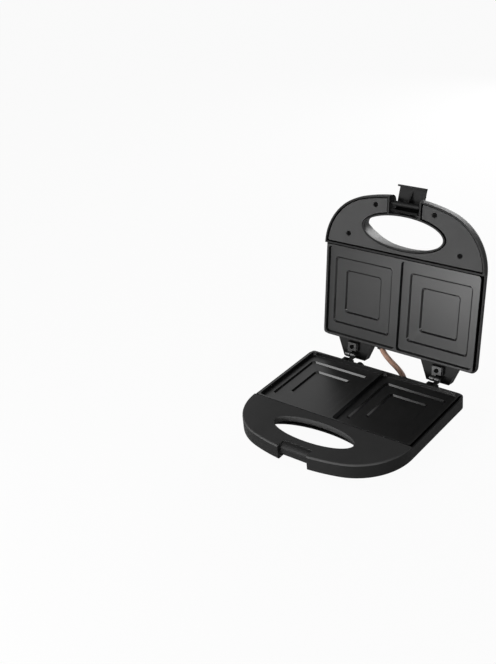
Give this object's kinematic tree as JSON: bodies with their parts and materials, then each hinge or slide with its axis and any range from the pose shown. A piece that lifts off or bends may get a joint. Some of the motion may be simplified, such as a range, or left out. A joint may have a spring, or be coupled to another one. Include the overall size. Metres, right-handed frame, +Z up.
{
  "type": "sandwich maker",
  "caption": "Countertop sandwich maker with a hinged lid, stepped square cooking pockets, finger-hole handles, a swinging front latch and a silver lid panel with indicator lamps.",
  "frame": {"origin": "on the table, below the middle of the bounding box with the lid open", "axes": "+X to the right as the user faces it, +Y from the handle to the hinges, +Z up"},
  "size_m": [0.2274, 0.2868, 0.2585],
  "materials": {
    "shell_plastic": "satin black heat-resistant plastic",
    "cover_plastic": "fine-grained dark grey plastic",
    "non_stick": "cast aluminium with a dark non-stick coat",
    "panel_steel": "silver satin sheet",
    "hinge_steel": "zinc-plated sheet steel",
    "screw_steel": "dark zinc-plated steel",
    "heater_steel": "steel-sheathed heater tube",
    "reflector_sheet": "bright sheet",
    "foot_rubber": "matt black rubber",
    "bush_rubber": "matt black rubber",
    "sleeve": "woven brown heat sleeve",
    "red_lens": "translucent red plastic",
    "green_lens": "translucent green plastic",
    "bezel_plastic": "gloss black plastic",
    "lamp_glass": "small clear lamp",
    "terminal_plastic": "cream heat-resistant plastic"
  },
  "bodies": {
    "base": {"base_shell": "shell_plastic", "base_handle_cover": "cover_plastic", "base_cover_screws": "screw_steel", "bottom_cover": "shell_plastic", "base_tie_screws": "screw_steel", "lower_plate": "non_stick", "lower_heater": "heater_steel", "lower_reflector": "reflector_sheet", "thermostat": "terminal_plastic", "thermal_fuse": "terminal_plastic", "terminal_block": "terminal_plastic", "cord_gland": "bush_rubber", "base_cable_bush": "bush_rubber", "base_leaf_screws": "screw_steel", "link_cable": "sleeve", "front_foot_left": "foot_rubber", "front_foot_right": "foot_rubber", "rear_foot_left": "foot_rubber", "rear_foot_right": "foot_rubber", "hinge_base_leaf_left": "hinge_steel", "hinge_pin_left": "hinge_steel", "hinge_base_leaf_right": "hinge_steel", "hinge_pin_right": "hinge_steel"},
    "lid": {"lid_shell": "shell_plastic", "lid_panel": "panel_steel", "lid_tie_screws": "screw_steel", "lamp_bezel": "bezel_plastic", "red_lens": "red_lens", "green_lens": "green_lens", "lamp_holder": "bezel_plastic", "red_lamp": "lamp_glass", "green_lamp": "lamp_glass", "lid_handle_cover": "cover_plastic", "lid_cover_screws": "screw_steel", "upper_plate": "non_stick", "upper_heater": "heater_steel", "upper_reflector": "reflector_sheet", "lid_leaf_screws": "screw_steel", "lid_cable_bush": "bush_rubber", "latch_pin": "hinge_steel", "hinge_lid_leaf_left": "hinge_steel", "hinge_lid_leaf_right": "hinge_steel"},
    "latch": {"latch": "shell_plastic"}
  },
  "joints": [
    {"name": "lid_hinge", "type": "hinge", "parent": "base", "child": "lid", "pos_m": [0, 0.07817, 0.0313], "axis": [1, 0, 0], "range_deg": [0, 99.5], "deforming": ["link_cable"]},
    {"name": "latch_pivot", "type": "hinge", "parent": "lid", "child": "latch", "pos_m": [0, 0.12396, 0.23828], "axis": [1, 0, 0], "range_deg": [0, 105]}
  ]
}
